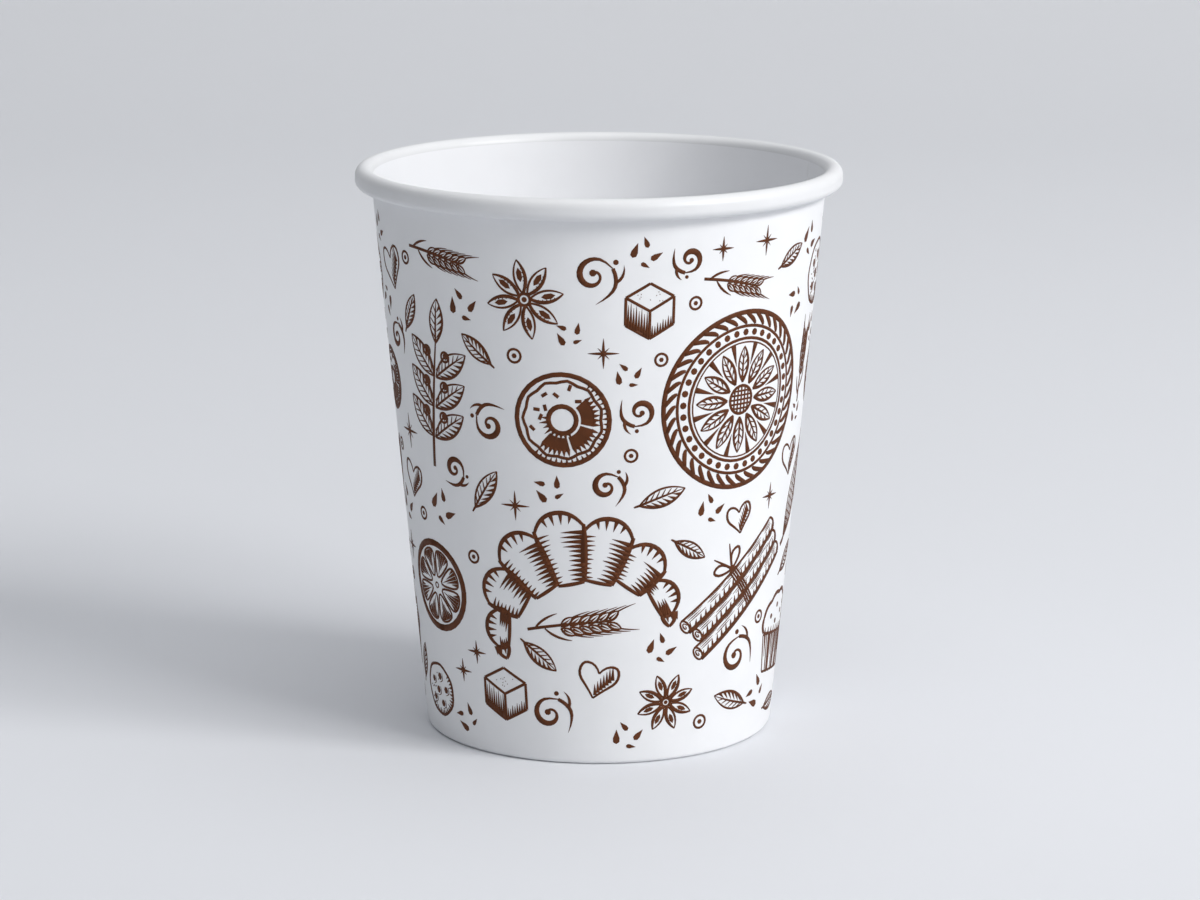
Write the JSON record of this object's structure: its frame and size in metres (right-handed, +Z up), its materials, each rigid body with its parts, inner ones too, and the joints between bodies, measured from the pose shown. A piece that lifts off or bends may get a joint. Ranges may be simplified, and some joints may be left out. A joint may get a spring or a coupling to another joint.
{
  "type": "paper coffee cup",
  "caption": "Tapered round paper cup with a rolled rim, a lap seam, a recessed flanged floor and an all-over brown line pattern of pastries, spices and leaves.",
  "frame": {"origin": "centre of the base ring, on the table", "axes": "+Z up along the cup's axis, -Y towards the printed front, lap seam on the +X side"},
  "size_m": [0.08, 0.08, 0.094],
  "materials": {
    "cup_board": "coated matte",
    "brown_ink": "matte ink"
  },
  "bodies": {
    "root": {"side_wall": "cup_board", "floor_disc": "cup_board", "wall_print": "brown_ink"}
  },
  "joints": []
}
